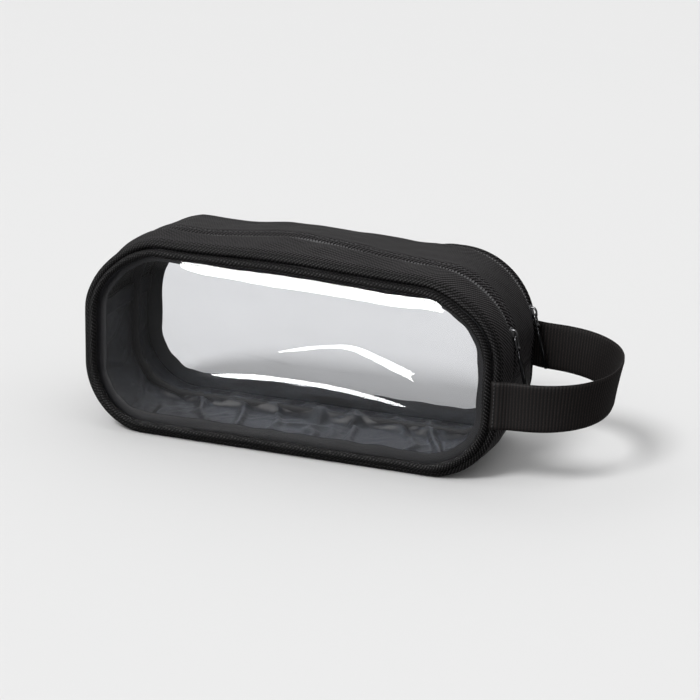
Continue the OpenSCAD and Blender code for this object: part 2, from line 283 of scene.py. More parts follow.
def grid_mesh(name, p, uv=None, wrap_u=False, wrap_v=False, flip=False, merge=False):
    """A mesh from a grid of points p[i, j], in millimetres: a quad between each four neighbours.
    Faces look along (i direction) x (j direction), or the other way with flip. uv is in metres."""
    nu, nv = p.shape[:2]
    at = np.arange(nu * nv).reshape(nu, nv)
    corner = np.arange((nu + wrap_u) * (nv + wrap_v)).reshape(nu + wrap_u, nv + wrap_v)
    if wrap_u:
        at = np.vstack([at, at[:1]])
    if wrap_v:
        at = np.hstack([at, at[:, :1]])

    def quads(a):
        q = np.stack([a[:-1, :-1], a[1:, :-1], a[1:, 1:], a[:-1, 1:]], -1).reshape(-1, 4)
        return q[:, ::-1] if flip else q

    mesh = bpy.data.meshes.new(name)
    faces = quads(at)
    mesh.vertices.add(nu * nv)
    mesh.vertices.foreach_set("co", (p.reshape(-1, 3) / M).astype(np.float32).ravel())
    mesh.loops.add(faces.size)
    mesh.loops.foreach_set("vertex_index", faces.ravel().astype(np.int32))
    mesh.polygons.add(len(faces))
    mesh.polygons.foreach_set("loop_start", np.arange(0, faces.size, 4, dtype=np.int32))
    mesh.update(calc_edges=True)
    if uv is not None:
        layer = mesh.uv_layers.new(name="UVMap")
        layer.uv.foreach_set("vector", uv.reshape(-1, 2)[quads(corner).ravel()].astype(np.float32).ravel())
    mesh.polygons.foreach_set("use_smooth", np.ones(len(faces), bool))
    mesh.validate()
    obj = linked(name, mesh)
    if merge:
        weld(obj, 1e-6)
    return obj


def weld(obj, distance):
    bm = bmesh.new()
    bm.from_mesh(obj.data)
    bmesh.ops.remove_doubles(bm, verts=bm.verts, dist=distance)
    bm.to_mesh(obj.data)
    bm.free()


def thicken(obj, thickness, outwards=False):
    """Gives a sheet its thickness in millimetres, behind its face or in front of it."""
    mod = obj.modifiers.new("thickness", "SOLIDIFY")
    mod.thickness = thickness / M
    mod.offset = 1.0 if outwards else -1.0
    mod.use_even_offset = False
    mod.use_rim = True
    return obj


def lattice_uv(a, b):
    """A UV grid in metres from lengths a and b in millimetres."""
    a, b = np.broadcast_arrays(a, b)
    return np.stack([a, b], -1) / M


def grid_area(p):
    """Area in square metres of a grid of points in millimetres."""
    a = np.cross(p[1:, 1:] - p[:-1, :-1], p[1:, :-1] - p[:-1, 1:])
    return float(np.linalg.norm(a, axis=-1).sum() / 2 / M / M)


def declare_sheet(p, width, length):
    """Works out the area of a sheet cut to width and length in millimetres, its corners or edges trimmed, and keeps
    nothing of it.
    """
    area = min(grid_area(p), width * length / M / M)
    width / M


def finish_piece(obj, body, slot, material, *nodes):
    """Gives a piece its body and material, and hides the CAD nodes that it stands for; slot is not used."""
    obj.data.materials.clear()
    obj.data.materials.append(material)
    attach(obj, body)
    if nodes:
        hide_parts(*nodes)
    return obj


# ---------------------------------------------------------------- materials


class Value:
    """A shader socket or a number, so that shader maths reads as an expression."""

    def __init__(self, make, socket):
        self.make, self.socket = make, socket

    def _math(self, operation, *others):
        return self.make.math(operation, self, *others)

    def __add__(self, o): return self._math("ADD", o)
    def __radd__(self, o): return self.make.math("ADD", o, self)
    def __sub__(self, o): return self._math("SUBTRACT", o)
    def __rsub__(self, o): return self.make.math("SUBTRACT", o, self)
    def __mul__(self, o): return self._math("MULTIPLY", o)
    def __rmul__(self, o): return self.make.math("MULTIPLY", o, self)
    def __truediv__(self, o): return self._math("DIVIDE", o)
    def __pow__(self, o): return self._math("POWER", o)
    def sin(self): return self._math("SINE")
    def abs(self): return self._math("ABSOLUTE")
    def floor(self): return self._math("FLOOR")
    def at_most(self, o): return self._math("MINIMUM", o)


class Material:
    """Builds one node material. node() adds any node; the rest are short ways to common ones."""

    def __init__(self, name):
        self.material = bpy.data.materials.new(name)
        self.material.use_nodes = True
        self.tree = self.material.node_tree
        self.tree.nodes.clear()
        self.output = self.tree.nodes.new("ShaderNodeOutputMaterial")

    def put(self, socket, value):
        if isinstance(value, Value):
            self.tree.links.new(value.socket, socket)
        elif value is not None:
            socket.default_value = value

    def node(self, kind, settings=None, **inputs):
        n = self.tree.nodes.new(kind)
        for key, value in (settings or {}).items():
            setattr(n, key, value)
        for key, value in inputs.items():
            self.put(n.inputs[int(key[1:]) if key[1:].isdigit() else key.replace("_", " ")], value)
        return n

    def out(self, n, name=0):
        return Value(self, n.outputs[name])

    def math(self, operation, *values):
        n = self.node("ShaderNodeMath", {"operation": operation})
        for socket, value in zip(n.inputs, values):
            self.put(socket, value)
        return self.out(n)

    def uv(self):
        """The piece's own UV map, split into two lengths in millimetres."""
        parts = self.node("ShaderNodeSeparateXYZ", Vector=self.out(self.node("ShaderNodeUVMap"), "UV"))
        return self.out(parts, "X") * M, self.out(parts, "Y") * M

    def place(self):
        return self.out(self.node("ShaderNodeTexCoord"), "Object")

    def noise(self, scale, detail=3.0, roughness=0.55, vector=None, stretch=None):
        vector = vector or self.place()
        if stretch:
            vector = self.out(self.node("ShaderNodeMapping", Vector=vector, Scale=stretch))
        n = self.node("ShaderNodeTexNoise", Vector=vector, Scale=scale, Detail=detail, Roughness=roughness)
        return self.out(n, "Fac")

    def ramp(self, value, low, high):
        """value mapped from low..high to 0..1, smoothly and held at the ends."""
        n = self.node("ShaderNodeMapRange", {"interpolation_type": "SMOOTHSTEP"}, Value=value)
        self.put(n.inputs["From Min"], low)
        self.put(n.inputs["From Max"], high)
        return self.out(n, "Result")

    def mix(self, share, dark, light):
        n = self.node("ShaderNodeMix", {"data_type": "RGBA"})
        self.put(n.inputs[0], share)
        self.put(n.inputs[6], (*dark, 1.0) if not isinstance(dark, Value) else dark)
        self.put(n.inputs[7], (*light, 1.0) if not isinstance(light, Value) else light)
        return self.out(n, 2)

    def bump(self, height, distance, strength=1.0, normal=None):
        n = self.node("ShaderNodeBump", Height=height, Distance=distance, Strength=strength)
        if normal is not None:
            self.put(n.inputs["Normal"], normal)
        return self.out(n)

    def principled(self, **inputs):
        return self.out(self.node("ShaderNodeBsdfPrincipled", **inputs))

    def surface(self, shader):
        self.tree.links.new(shader.socket, self.output.inputs["Surface"])
        return self.material


TAU = 2 * math.pi


LINT_SHARE, TWILL_ROUGHNESS, TWILL_GLOSS = 0.10, 0.50, 0.06


def twill(name, dark, light, pitch, depth, slant=1.0):
    """Twill: diagonal ribs of the given pitch in mm, broken into threads across them, with a slightly uneven dye and
    lint that stays in the hollows, and painted shade that darkens it towards the seam rolls."""
    m = Material(name)
    u, v = m.uv()
    wander = (m.noise(90.0, 2.0) - 0.5) * 0.5
    diagonal = (u + v * slant) / (pitch * math.hypot(1, slant)) + wander
    rib = (diagonal * TAU).sin() * 0.5 + 0.5
    step = diagonal.floor() * 0.37
    along = (u * slant - v) / (pitch * 0.9 * math.hypot(1, slant)) + step
    thread = ((along * TAU).sin() * 0.5 + 0.5) ** 0.6
    weave = (rib ** 0.7) * (thread * 0.45 + 0.55)
    patches = m.noise(38.0, 4.0)
    fine = m.noise(1500.0, 2.0)
    depth_at = m.out(m.node("ShaderNodeSeparateXYZ", Vector=m.place()), "Y").abs() * M
    # Painted shade: the twill is darkened within a few millimetres of the front and back walls, towards the seam
    # rolls.
    seam_shade = m.ramp(depth_at, WALL_Y - 5.0, WALL_Y - 1.0)
    tone = m.ramp(weave * 0.95 + patches * 0.3 + fine * 0.12 - seam_shade * 0.22, 0.45, 1.12)
    colour = m.mix(tone, dark, light)
    lint = m.ramp(m.noise(420.0, 5.0, 0.7), 0.70, 0.86) * LINT_SHARE
    colour = m.mix(lint, colour, (0.045, 0.043, 0.044))
    roughness = TWILL_ROUGHNESS + (0.5 - weave) * 0.14 + (patches - 0.5) * 0.1
    height = weave + fine * 0.25
    normal = m.bump(m.noise(160.0, 3.0), 0.0004, 0.35)
    normal = m.bump(height, depth / M, 0.9, normal)
    return m.surface(m.principled(
        Base_Color=colour, Roughness=roughness, Normal=normal, Specular_IOR_Level=TWILL_GLOSS,
    ))


def webbing_cloth():
    """Webbing: fine ribs across its width, each crossed by binder threads, with firm edges."""
    m = Material("webbing")
    u, v = m.uv()
    wander = (m.noise(60.0, 2.0) - 0.5) * 0.35
    rib = ((u / 1.7 + wander) * TAU).sin() * 0.5 + 0.5
    row = (v / 0.9).floor()
    cross = ((v / 0.9) * TAU).sin() * 0.5 + 0.5
    stagger = ((u / 1.7 + row * 0.5) * TAU).sin() * 0.5 + 0.5
    weave = rib * 0.65 + cross * stagger * 0.35
    fine = m.noise(1300.0, 3.0)
    patches = m.noise(50.0, 3.0)
    tone = m.ramp(weave * 0.75 + fine * 0.25 + patches * 0.2, 0.35, 1.05)
    colour = m.mix(tone, (0.0010, 0.0006, 0.0006), (0.0150, 0.0094, 0.0086))
    speck = m.ramp(m.noise(900.0, 3.0, 0.8), 0.66, 0.80) * 0.35
    colour = m.mix(speck, colour, (0.026, 0.019, 0.018))
    normal = m.bump(weave + fine * 0.3, 0.00022, 1.0)
    return m.surface(m.principled(
        Base_Color=colour, Roughness=0.72 - weave * 0.12, Normal=normal, Sheen_Weight=0.02, Sheen_Roughness=0.5,
        Specular_IOR_Level=0.09,
    ))


def lining_cloth():
    """Lining: a fine plain weave with a satin face."""
    m = Material("lining")
    u, v = m.uv()
    weave = ((u / 0.5 * TAU).sin() * (v / 0.5 * TAU).sin()) * 0.5 + 0.5
    patches = m.noise(30.0, 4.0)
    fine = m.noise(1200.0, 2.0)
    tone = m.ramp(weave * 0.4 + patches * 0.5 + fine * 0.2, 0.2, 0.9)
    colour = m.mix(tone, (0.010, 0.0095, 0.011), (0.033, 0.032, 0.036))
    normal = m.bump(m.noise(120.0, 4.0), 0.0006, 0.4)
    normal = m.bump(weave + fine * 0.4, 0.00008, 0.8, normal)
    return m.surface(m.principled(
        Base_Color=colour, Roughness=0.46 + (patches - 0.5) * 0.12, Normal=normal, Sheen_Weight=0.04,
        Sheen_Roughness=0.4, Specular_IOR_Level=0.3,
    ))


def ribbed_tape(name, pitch, dark, light):
    """Narrow woven tape: ribs along it and a soft twill between."""
    m = Material(name)
    u, v = m.uv()
    rib = ((v / pitch) * TAU).sin() * 0.5 + 0.5
    tick = (((u + v * 0.5) / (pitch * 1.2)) * TAU).sin() * 0.5 + 0.5
    weave = rib * 0.6 + tick * 0.4
    fine = m.noise(1100.0, 2.0)
    colour = m.mix(m.ramp(weave + fine * 0.3, 0.2, 1.2), dark, light)
    normal = m.bump(weave, 0.00012, 0.9)
    return m.surface(m.principled(
        Base_Color=colour, Roughness=0.66 - weave * 0.08, Normal=normal, Sheen_Weight=0.02, Sheen_Roughness=0.5,
        Specular_IOR_Level=0.2,
    ))


def clear_vinyl(name, tint, haze, rough, gleam=(1.0, 1.0, 1.0)):
    """Clear vinyl: it shows what is behind it and mirrors lights by its angle, with faint smears."""
    m = Material(name)
    smear = m.ramp(m.noise(22.0, 5.0, 0.6, stretch=(1.0, 1.0, 2.2)), 0.35, 0.8)
    waves = m.noise(26.0, 2.0, 0.4)
    normal = m.bump(waves, 0.0011, 0.5)
    gloss = m.out(m.node("ShaderNodeBsdfGlossy", Color=(*gleam, 1.0), Roughness=smear * 0.05 + rough, Normal=normal))
    clear = m.out(m.node("ShaderNodeBsdfTransparent", Color=(*tint, 1.0)))
    fresnel = m.out(m.node("ShaderNodeFresnel", IOR=1.5, Normal=normal))
    share = (fresnel * 0.5 + smear * haze).at_most(1.0)
    mixed = m.node("ShaderNodeMixShader", _0=share)
    m.tree.links.new(clear.socket, mixed.inputs[1])
    m.tree.links.new(gloss.socket, mixed.inputs[2])
    return m.surface(m.out(mixed))


def gunmetal(name, dark, bright, coat):
    """Dark plated metal: glossy, with fine scratches and worn, brighter patches."""
    m = Material(name)
    scratch = m.ramp(m.noise(700.0, 4.0, 0.7, stretch=(1.0, 1.0, 0.12)), 0.45, 0.75)
    worn = m.ramp(m.noise(240.0, 3.0), 0.55, 0.8)
    colour = m.mix(worn, dark, bright)
    normal = m.bump(m.noise(500.0, 3.0), 0.00002, 0.5)
    return m.surface(m.principled(
        Base_Color=colour, Metallic=1.0, Roughness=scratch * 0.14 + 0.28, Normal=normal, Coat_Weight=coat,
        Coat_Roughness=0.12,
    ))


def nylon_coil():
    """Nylon coil: smooth dark monofilament."""
    m = Material("zip_coil")
    fine = m.noise(900.0, 2.0)
    colour = m.mix(fine, (0.040, 0.040, 0.042), (0.110, 0.108, 0.112))
    return m.surface(m.principled(Base_Color=colour, Roughness=fine * 0.15 + 0.30, Specular_IOR_Level=0.55))


def sewing_thread():
    """Sewing thread: twisted plies, slightly lustrous."""
    m = Material("thread")
    fine = m.noise(1800.0, 2.0)
    colour = m.mix(fine, (0.008, 0.008, 0.009), (0.040, 0.040, 0.043))
    normal = m.bump(m.noise(2600.0, 1.0), 0.00006, 0.8)
    return m.surface(m.principled(
        Base_Color=colour, Roughness=0.48 + fine * 0.1, Normal=normal, Specular_IOR_Level=0.3,
    ))


BLACK = (0.0003, 0.0003, 0.0003)
GUSSET_TWILL = twill("gusset_twill", BLACK, (0.0500, 0.0465, 0.0485), 1.5, 0.34)
# Painted shade: the piping's light thread colour is set darker than the gusset's, standing for less light on the
# front-facing piping.
SHADED_PIPING_TWILL = twill("piping_twill", BLACK, (0.0420, 0.0395, 0.0410), 1.55, 0.38, slant=0.8)
WEBBING = webbing_cloth()
LINING = lining_cloth()
BINDING = ribbed_tape("binding", 0.8, (0.0035, 0.0033, 0.0050), (0.011, 0.0105, 0.015))
ZIP_TAPE = ribbed_tape("zip_tape", 0.6, (0.0025, 0.0024, 0.0026), (0.009, 0.009, 0.0095))
FRONT_VINYL = clear_vinyl("front_vinyl", (0.995, 0.996, 0.997), 0.006, 0.03)
BACK_VINYL = clear_vinyl("back_vinyl", (0.990, 0.992, 0.998), 0.016, 0.08, (0.75, 0.85, 1.0))
METAL = gunmetal("gunmetal", (0.09, 0.09, 0.094), (0.24, 0.24, 0.25), 0.3)
TAB_METAL = gunmetal("tab_metal", (0.012, 0.012, 0.013), (0.045, 0.045, 0.047), 0.08)
COIL = nylon_coil()
THREAD = sewing_thread()

# ---------------------------------------------------------------- gusset and zip strips

ROLL_R = 2.35
ROLL_Y = WALL_Y - 0.9
ROLL_H = -1.9
ROLL_STEPS = 14
FOLD = ((0.28, -0.22), (0.42, -0.62), (0.36, -1.05), (0.1, -1.35))


def roll_section(side):
    """Depth and height of the seam roll, from where it is tucked behind the piping over its top:
    an arc of a circle about a point just inside the wall."""
    a = np.radians(np.linspace(150, -30, ROLL_STEPS))
    return side * (ROLL_Y + ROLL_R * np.sin(a)), ROLL_H + ROLL_R * np.cos(a)


def fabric_panel(name, s, y_from, y_to, columns, roll_from=0, roll_to=0, fold_from=0, fold_to=0):
    """A panel of the gusset between the depths y_from(s) and y_to(s), with a seam roll or a fold
    down to a zip at either edge."""
    s = s[:, None]
    ys, hs = [], []
    if roll_from:
        y, h = roll_section(roll_from)
        ys.append(np.broadcast_to(y, (len(s), ROLL_STEPS)))
        hs.append(np.broadcast_to(h, (len(s), ROLL_STEPS)))
        y_from = np.full_like(s, y[-1] - roll_from * 0.4)
    if roll_to:
        y_roll, h_roll = roll_section(roll_to)
        y_to = np.full_like(s, y_roll[-1] - roll_to * 0.4)
    t = np.linspace(0, 1, columns)
    y = y_from + (y_to - y_from) * t
    h = skin(s, y)
    if fold_from:
        for dy, dh in FOLD[::-1]:
            ys.append(y_from - fold_from * -dy)
            hs.append(h[:, :1] + dh)
    ys.append(y)
    hs.append(h)
    if fold_to:
        for dy, dh in FOLD:
            ys.append(y_to - fold_to * -dy)
            hs.append(h[:, -1:] + dh)
    if roll_to:
        ys.append(np.broadcast_to(y_roll[::-1], (len(s), ROLL_STEPS)))
        hs.append(np.broadcast_to(h_roll[::-1], (len(s), ROLL_STEPS)))
    y, h = np.hstack(ys), np.hstack(hs)
    p = place(s, y, h)
    across = np.concatenate([np.zeros((len(s), 1)), np.cumsum(np.linalg.norm(np.diff(p, axis=1), axis=2), axis=1)], 1)
    obj = grid_mesh(name, p, lattice_uv(s, across), flip=True)
    declare_sheet(p, across.max(), float(np.ptp(s)) * 1.04)
    return thicken(obj, FABRIC_T)


def make_gusset():
    """The bottom gusset in one piece, and the three strips of the zip gusset."""
    low_s = np.linspace(S_LEFT - LINE.length, S_RIGHT, 420)
    edge = np.zeros((len(low_s), 1))
    obj = fabric_panel("gusset_bottom", low_s, edge, edge, 60, roll_from=-1, roll_to=1)
    finish_piece(obj, "bag", "gusset_twill", GUSSET_TWILL, "bottom_gusset")
    top_s = np.linspace(S_RIGHT, S_LEFT, 460)
    front = zip_line("front", top_s)[:, None]
    back = zip_line("back", top_s)[:, None]
    edge = np.zeros_like(front)
    obj = fabric_panel("strip_front", top_s, edge, front - ZIP_HALF_GAP, 30, roll_from=-1, fold_to=1)
    finish_piece(obj, "bag", "strip_twill", GUSSET_TWILL, "front_zip_strip")
    obj = fabric_panel("strip_middle", top_s, front + ZIP_HALF_GAP, back - ZIP_HALF_GAP, 46, fold_from=-1, fold_to=1)
    finish_piece(obj, "bag", "strip_twill", GUSSET_TWILL, "middle_zip_strip")
    obj = fabric_panel("strip_back", top_s, back + ZIP_HALF_GAP, edge, 12, fold_from=-1, roll_to=1)
    finish_piece(obj, "bag", "strip_twill", GUSSET_TWILL, "back_zip_strip")


# ---------------------------------------------------------------- piping and bindings


def ring_tube(name, s, y, h, r_y, r_h, sides=16, wrap=True):
    """A tube round the body: an ellipse of half-axes r_y and r_h about depth y and height h."""
    a = np.linspace(0, TAU, sides, endpoint=False)
    s_col = s[:, None]
    y, h, r_y, r_h = (np.broadcast_to(np.asarray(v, float).reshape(-1, 1), (len(s), 1)) for v in (y, h, r_y, r_h))
    p = place(s_col, y + r_y * np.sin(a), h + r_h * np.cos(a))
    rows = np.append(s, LINE.length) if wrap else s
    around = np.linspace(0, TAU, sides + 1) * float(np.median(r_y))
    return grid_mesh(name, p, lattice_uv(rows[:, None], around[None]), wrap_u=wrap, wrap_v=True)


def ribbon(name, s, y, h, width, thick, wrap=False, upright=False):
    """A flat tape round the body: a rounded rectangle, its width along the depth or upright."""
    half_w, half_t, r = width / 2, thick / 2, thick * 0.45
    corner = np.radians(np.array([0, 45, 90]))
    across, up = [], []
    for cx, cy, turn in ((1, 1, 0), (-1, 1, 90), (-1, -1, 180), (1, -1, 270)):
        a = corner + math.radians(turn)
        across.append(cx * (half_w - r) + r * np.cos(a))
        up.append(cy * (half_t - r) + r * np.sin(a))
    across, up = np.concatenate(across), np.concatenate(up)
    if upright:
        across, up = up, across
    s_col = s[:, None]
    y, h = (np.broadcast_to(np.asarray(v, float).reshape(-1, 1), (len(s), 1)) for v in (y, h))
    p = place(s_col, y + across, h + up)
    rows = np.append(s, LINE.length) if wrap else s
    loop = np.stack([across, up], 1)
    around = np.concatenate([[0], np.cumsum(np.linalg.norm(np.diff(np.vstack([loop, loop[:1]]), axis=0), axis=1))])
    obj = grid_mesh(name, p, lattice_uv(rows[:, None], around[None]), wrap_u=wrap, wrap_v=True)
    return obj


def make_piping():
    """Covered piping round both windows, a little flattened, in twill painted darker than the gusset's as shade, and
    the bindings behind it.
    """
    s = np.linspace(0, LINE.length, 560, endpoint=False)
    swell = 0.12 * Ripple(5, 12, 40, 6)(s, 0 * s)
    for side, word in ((-1, "front"), (1, "back")):
        y = side * (PIPING_Y + 0.1 * SOFT_WAVES(s, 0 * s + side))
        h = -PIPING_INSET + 0.2 * SOFT_WAVES(s, 0 * s)
        obj = ring_tube("piping_" + word, s, y, h, PIPING_R - 0.05 + swell, PIPING_R - 0.1 + swell)
        finish_piece(obj, "bag", "piping_twill", SHADED_PIPING_TWILL, word + "_piping", word + "_piping_cord")
        h = -7.4 + 0.35 * SMALL_WAVES(s, 0 * s + side)
        obj = ribbon("seam_binding_" + word, s, side * (WALL_Y - 1.9), h, 9.0, 1.2, True, True)
        finish_piece(obj, "bag", "binding_tape", BINDING, word + "_seam_binding")
    obj = ribbon("divider_binding_tape", s, DIVIDER_Y, -5.2 + 0.3 * SMALL_WAVES(s, 0 * s + 9), 5.4, 2.2, True, True)
    finish_piece(obj, "bag", "binding_tape", BINDING, "divider_binding")


# ---------------------------------------------------------------- windows

TOP_ROLL = 17.0

def window_grid(inset, columns=280, rows=116):
    """Front-view points of a sheet: upright lines between the lower and upper halves of the
    outline moved in by inset, closest together near both ends, and each point's distance from
    that rim."""
    p, n = LINE.at(np.linspace(0, LINE.length, 1200, endpoint=False))
    rim = p - n * inset
    half = np.abs(rim[:, 0]).max()
    x = half * np.sin(np.linspace(-math.pi / 2, math.pi / 2, columns) * 0.985) / math.sin(math.pi / 2 * 0.985)
    x = x * 0.45 + np.linspace(-half, half, columns) * 0.55
    edges = []
    for part in (n[:, 1] < 0, n[:, 1] >= 0):
        order = np.argsort(rim[part, 0])
        edges.append(np.interp(x, rim[part, 0][order], rim[part, 1][order]))
    t = np.linspace(0, 1, rows)[:, None]
    z = edges[0] + (edges[1] - edges[0]) * t
    x = np.broadcast_to(x, z.shape)
    away = np.full(z.shape, 1e9)
    for q in rim[::4]:
        away = np.minimum(away, np.hypot(x - q[0], z - q[1]))
    return x, z, away


def crease(x, z, line, height, width, x0, x1, taper=22.0):
    """A soft ridge along z = line(x) from x0 to x1: a bell of the given height, four times as wide
    below its line as above it, where its width is width(x)."""
    off = z - line(x)
    w = np.where(off > 0, width(x), 4.0 * width(x))
    ends = smooth((x - x0) / taper) * smooth((x1 - x) / taper)
    return height * width(x) * bell(off / w) * ends


def sheet_window(name, y, side, swell, creases, material, nodes, thick=0.5, inset=None, top_swell=0.0):
    """A clear sheet: flat at its rim, swelling a little towards the middle, with creases, and a
    fuller roll out under its top seam."""
    inset = PIPING_INSET - 0.5 if inset is None else inset
    x, z, away = window_grid(inset)
    bulge = swell * smooth(away / 16.0) + 0.35 * SOFT_WAVES(x, z * 1.3 + 40) * smooth(away / 20.0)
    below = np.clip((top_z(x) - inset - 2.0 - z) / TOP_ROLL, 0, 1)
    along = smooth((x + 97.0) / 88.0) * smooth((99.0 - x) / 40.0)
    bulge = bulge + top_swell * along * (np.sin(below * math.pi / 2) - 0.45 * smooth((below - 0.35) / 0.65))
    for c in creases:
        bulge = bulge + crease(x, z, *c) * smooth(away / 3.0)
    p = settle(np.stack([x, y + side * bulge, z], -1))
    obj = grid_mesh(name, p, lattice_uv(x, z), flip=side < 0)
    declare_sheet(p, np.ptp(z) + 2.0, np.ptp(x) + 2.0)
    thicken(obj, thick)
    obj.visible_diffuse = False
    return finish_piece(obj, "bag", "clear_vinyl", material, *nodes)


def top_z(x):
    """Height of the outline's top at x."""
    top = LINE.n[:, 1] > 0.02
    order = np.argsort(LINE.p[top, 0])
    return np.interp(x, LINE.p[top, 0][order], LINE.p[top, 1][order])


def make_windows():
    """The front and back windows and the divider."""
    front = (
        (lambda x: 65.6 - 0.32 * np.hypot(x - 37.0, 8.0) - 0.09 * (x - 37.0), 0.64,
         lambda x: np.clip(1.5 + 0.030 * x, 1.1, 4.4), -42, 96, 24.0),
        (lambda x: 41.2 - 0.0014 * (x - 8.0) ** 2, 0.78, lambda x: 2.0 + 0 * x, -66, 104, 50.0),
        (lambda x: 13.6 - 0.0014 * (x - 6.0) ** 2, 0.6, lambda x: 1.0 + 0 * x, -84, 86, 40.0),
    )
    back = ((lambda x: 20.0 + 0.0012 * x * x, 0.35, lambda x: 2.0 + 0 * x, -70, 66, 20.0),)
    sheet_window("window_front", -WINDOW_Y - 0.3, -1, 1.2, front, FRONT_VINYL, ["front_window"], top_swell=5.2)
    sheet_window("window_back", WINDOW_Y + 0.3, 1, 1.2, back, BACK_VINYL, ["back_window"])
    sheet_window("divider_sheet", DIVIDER_Y, -1, 0.8, (), BACK_VINYL, ["divider_panel"], 0.4, 5.0)


# ---------------------------------------------------------------- lining


LINING_SLACK = 0.07
SETTLE_FRAMES = 36
LINING_HALF = WALL_Y - 2.4
RIDGE = 5.6
RIDGE_WAVES = Ripple(31, 22, 60, 6)


def ridge_height(s):
    """Height of the lining over the divider's seam: a wavy crest that sinks up the ends."""
    return RIDGE * (0.85 + 0.3 * RIDGE_WAVES(s, 0 * s)) * (0.45 + 0.55 * bell((s - 10.0) / 120.0))


def lining_start(s, y):
    """Height of the slack lining before it settles: a tent over the divider's seam with leaning
    folds, none of it at the outer seams."""
    tent = ridge_height(s) * np.clip(1.0 - abs(y - DIVIDER_Y) / 16.0, 0, 1) ** 1.4
    q = s + 0.35 * y + 4.0 * LINING_WAVES(s, y)
    folds = np.maximum(np.sin(q / 3.6) + 0.6 * np.sin(q / 6.1 + 1.3) + 0.7 * LINING_WAVES(s * 1.4, y * 0.8), -0.4)
    held = smooth((LINING_HALF - abs(y)) / 9.0) * (1.0 - bell((y - DIVIDER_Y) / 3.0))
    return tent + np.clip(held * (0.9 + 1.1 * folds), 0, None)


def settled_lining(s, y):
    """The lining as cloth cut larger than its place: sewn at its edges and along the divider's
    seam, it sinks onto a flat bed, folding where it is slack. Worked out flat, in centimetres,
    and returned as heights and sideways shifts in millimetres."""
    rows, columns = s.shape
    start = np.stack([s, y, lining_start(s, y) + 0.4], -1) / 10.0
    obj = grid_mesh("settling", start * M)
    bed = grid_mesh("bed", np.array([[[-60, -60, 0], [-60, 60, 0]], [[60, -60, 0], [60, 60, 0]]], float) * M)
    sewn = obj.vertex_groups.new(name="sewn")
    at = np.arange(rows * columns).reshape(rows, columns)
    seam = np.argmin(abs(y[0] - DIVIDER_Y))
    fixed = np.unique(np.concatenate([at[:, 0], at[:, -1], at[0], at[-1], at[:, seam]]))
    sewn.add(fixed.tolist(), 1.0, "REPLACE")
    bed.modifiers.new("bed", "COLLISION")
    bed.collision.thickness_outer = 0.02
    cloth = obj.modifiers.new("cloth", "CLOTH")
    setting = cloth.settings
    setting.quality = 6
    setting.mass = 0.25
    setting.tension_stiffness = setting.compression_stiffness = 18.0
    setting.shear_stiffness = 6.0
    setting.bending_stiffness = 0.12
    setting.vertex_group_mass = "sewn"
    setting.shrink_min = -LINING_SLACK
    cloth.collision_settings.distance_min = 0.02
    cloth.point_cache.frame_end = SETTLE_FRAMES
    scene = bpy.context.scene
    for number in range(1, SETTLE_FRAMES + 1):
        scene.frame_set(number)
    done = obj.evaluated_get(bpy.context.evaluated_depsgraph_get()).to_mesh()
    out = np.empty(rows * columns * 3, np.float32)
    done.vertices.foreach_get("co", out)
    scene.frame_set(1)
    for left in (obj, bed):
        bpy.data.objects.remove(left)
    return out.reshape(rows, columns, 3).astype(float) * 10.0


def make_lining():
    """Lining of the bottom gusset: slack cloth in folds on the base and up both ends."""
    s = np.linspace(S_LEFT - LINE.length, S_RIGHT, 170)[:, None]
    y = np.linspace(-LINING_HALF, LINING_HALF, 46)[None]
    s, y = np.broadcast_arrays(s, y)
    flat = settled_lining(s, y)
    flat[..., 1] = np.clip(flat[..., 1], -LINING_HALF, LINING_HALF)
    upright = 0.35 + 0.65 * smooth((104.0 - abs(s)) / 34.0)
    h = LINING_H - np.clip(flat[..., 2], 0, 9.0) * upright
    p = place(flat[..., 0], flat[..., 1], h)
    obj = grid_mesh("lining_floor", p, lattice_uv(s, y))
    cut = 1.0 + LINING_SLACK
    declare_sheet(p, 2 * LINING_HALF * cut, float(np.ptp(s)) * cut)
    finer = obj.modifiers.new("finer", "SUBSURF")
    finer.levels = finer.render_levels = 1
    thicken(obj, 0.4)
    finish_piece(obj, "bag", "lining_cloth", LINING, "bottom_lining")
    for word, at, node in (("left", S_LEFT, "left_end_binding"), ("right", S_RIGHT, "right_end_binding")):
        y = np.linspace(-WALL_Y + 2.6, WALL_Y - 2.6, 80)
        half_w, up = 4.5, np.array([-1.0, -0.9, 0.9, 1.0])
        along = up * half_w
        thick = np.array([0.0, 0.45, 0.45, 0.0])
        wave = 0.4 * SMALL_WAVES(y, 0 * y + at)[:, None]
        inward = -4.0 if at == S_RIGHT else 4.0
        p = place(at + inward + along[None], y[:, None] + 0 * along, -3.4 - thick[None] - wave)
        obj = grid_mesh("end_binding_" + word, p, lattice_uv(y[:, None], along[None]), flip=True)
        thicken(obj, 0.8, outwards=True)
        finish_piece(obj, "bag", "binding_tape", BINDING, node)


# ---------------------------------------------------------------- zips

COIL_PITCH = 1.7
COIL_STEPS = 9


def coil_row(name, which, side, s0, s1):
    """One row of a nylon coil: a helix round a line beside the zip's middle, the two rows half a
    pitch apart so that they mesh."""
    turns = int((s1 - s0) / COIL_PITCH)
    a = np.linspace(0, turns * TAU, turns * COIL_STEPS)
    s = s0 + (a / TAU + (0.5 if side > 0 else 0.0)) * COIL_PITCH
    y = zip_line(which, s) + side * 0.82 + 1.0 * np.cos(a) * -side
    h = COIL_H + 0.4 * np.sin(a) * side
    path = place(s, y, h)
    return wire(name, path, 0.34, 6)


